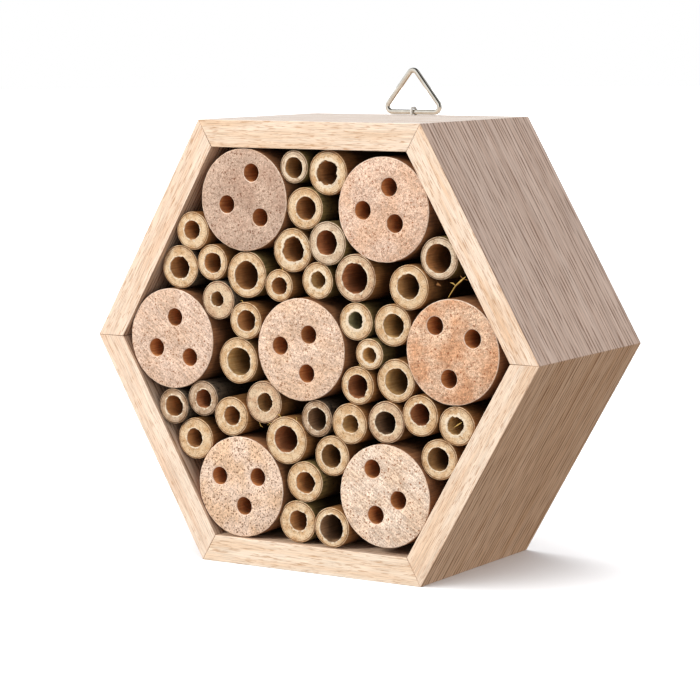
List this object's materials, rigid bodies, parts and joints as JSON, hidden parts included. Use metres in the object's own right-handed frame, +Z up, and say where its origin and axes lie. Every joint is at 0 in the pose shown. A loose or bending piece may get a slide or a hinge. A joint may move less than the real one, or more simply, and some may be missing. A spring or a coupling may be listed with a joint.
{
  "type": "insect hotel",
  "caption": "Hexagonal beech insect hotel, packed with drilled logs and cut bamboo canes, with a plywood back and a wire ring on top to hang it by.",
  "frame": {"origin": "centre of the underside: X and Y in the middle of the house, Z = 0 at the face of the bottom board that it stands on", "axes": "+X to the right across the corners, +Y from the open front to the back, +Z up towards the hanging ring"},
  "size_m": [0.2, 0.083, 0.1921],
  "materials": {
    "beech_boards": "planed bare beech",
    "plywood": "sanded bare plywood",
    "pin_steel": "bright drawn wire",
    "beech_logs": "sawn end grain and turned sides, bare",
    "bamboo": "natural cane, sawn ends",
    "ring_steel": "nickel-plated wire"
  },
  "bodies": {
    "house": {"frame_board_upper_right": "beech_boards", "frame_board_top": "beech_boards", "frame_board_upper_left": "beech_boards", "frame_board_lower_left": "beech_boards", "frame_board_bottom": "beech_boards", "frame_board_lower_right": "beech_boards", "back_panel": "plywood", "panel_pins": "pin_steel", "log_right": "beech_logs", "log_top_right": "beech_logs", "log_top_left": "beech_logs", "log_left": "beech_logs", "log_bottom_left": "beech_logs", "log_bottom_right": "beech_logs", "log_center": "beech_logs", "cane_upper_left_1": "bamboo", "cane_upper_left_2": "bamboo", "cane_upper_left_3": "bamboo", "cane_upper_left_4": "bamboo", "cane_upper_left_5": "bamboo", "cane_upper_left_6": "bamboo", "cane_top_1": "bamboo", "cane_top_2": "bamboo", "cane_top_3": "bamboo", "cane_top_4": "bamboo", "cane_top_5": "bamboo", "cane_top_6": "bamboo", "cane_top_7": "bamboo", "cane_upper_right_1": "bamboo", "cane_upper_right_2": "bamboo", "cane_upper_right_3": "bamboo", "cane_upper_right_4": "bamboo", "cane_upper_right_5": "bamboo", "cane_upper_right_6": "bamboo", "cane_lower_left_1": "bamboo", "cane_lower_left_2": "bamboo", "cane_lower_left_3": "bamboo", "cane_lower_left_4": "bamboo", "cane_lower_left_5": "bamboo", "cane_lower_left_6": "bamboo", "cane_bottom_1": "bamboo", "cane_bottom_2": "bamboo", "cane_bottom_3": "bamboo", "cane_bottom_4": "bamboo", "cane_bottom_5": "bamboo", "cane_bottom_6": "bamboo", "cane_lower_right_1": "bamboo", "cane_lower_right_2": "bamboo", "cane_lower_right_3": "bamboo", "cane_lower_right_4": "bamboo", "cane_lower_right_5": "bamboo", "cane_lower_right_6": "bamboo", "cane_lower_right_7": "bamboo", "ring_staple": "ring_steel"},
    "ring": {"hanging_ring": "ring_steel"}
  },
  "joints": [
    {"name": "ring_swing", "type": "hinge", "parent": "house", "child": "ring", "pos_m": [0, 0.037, 0.17445], "axis": [1, 0, 0], "range_deg": [-90, 90]}
  ]
}
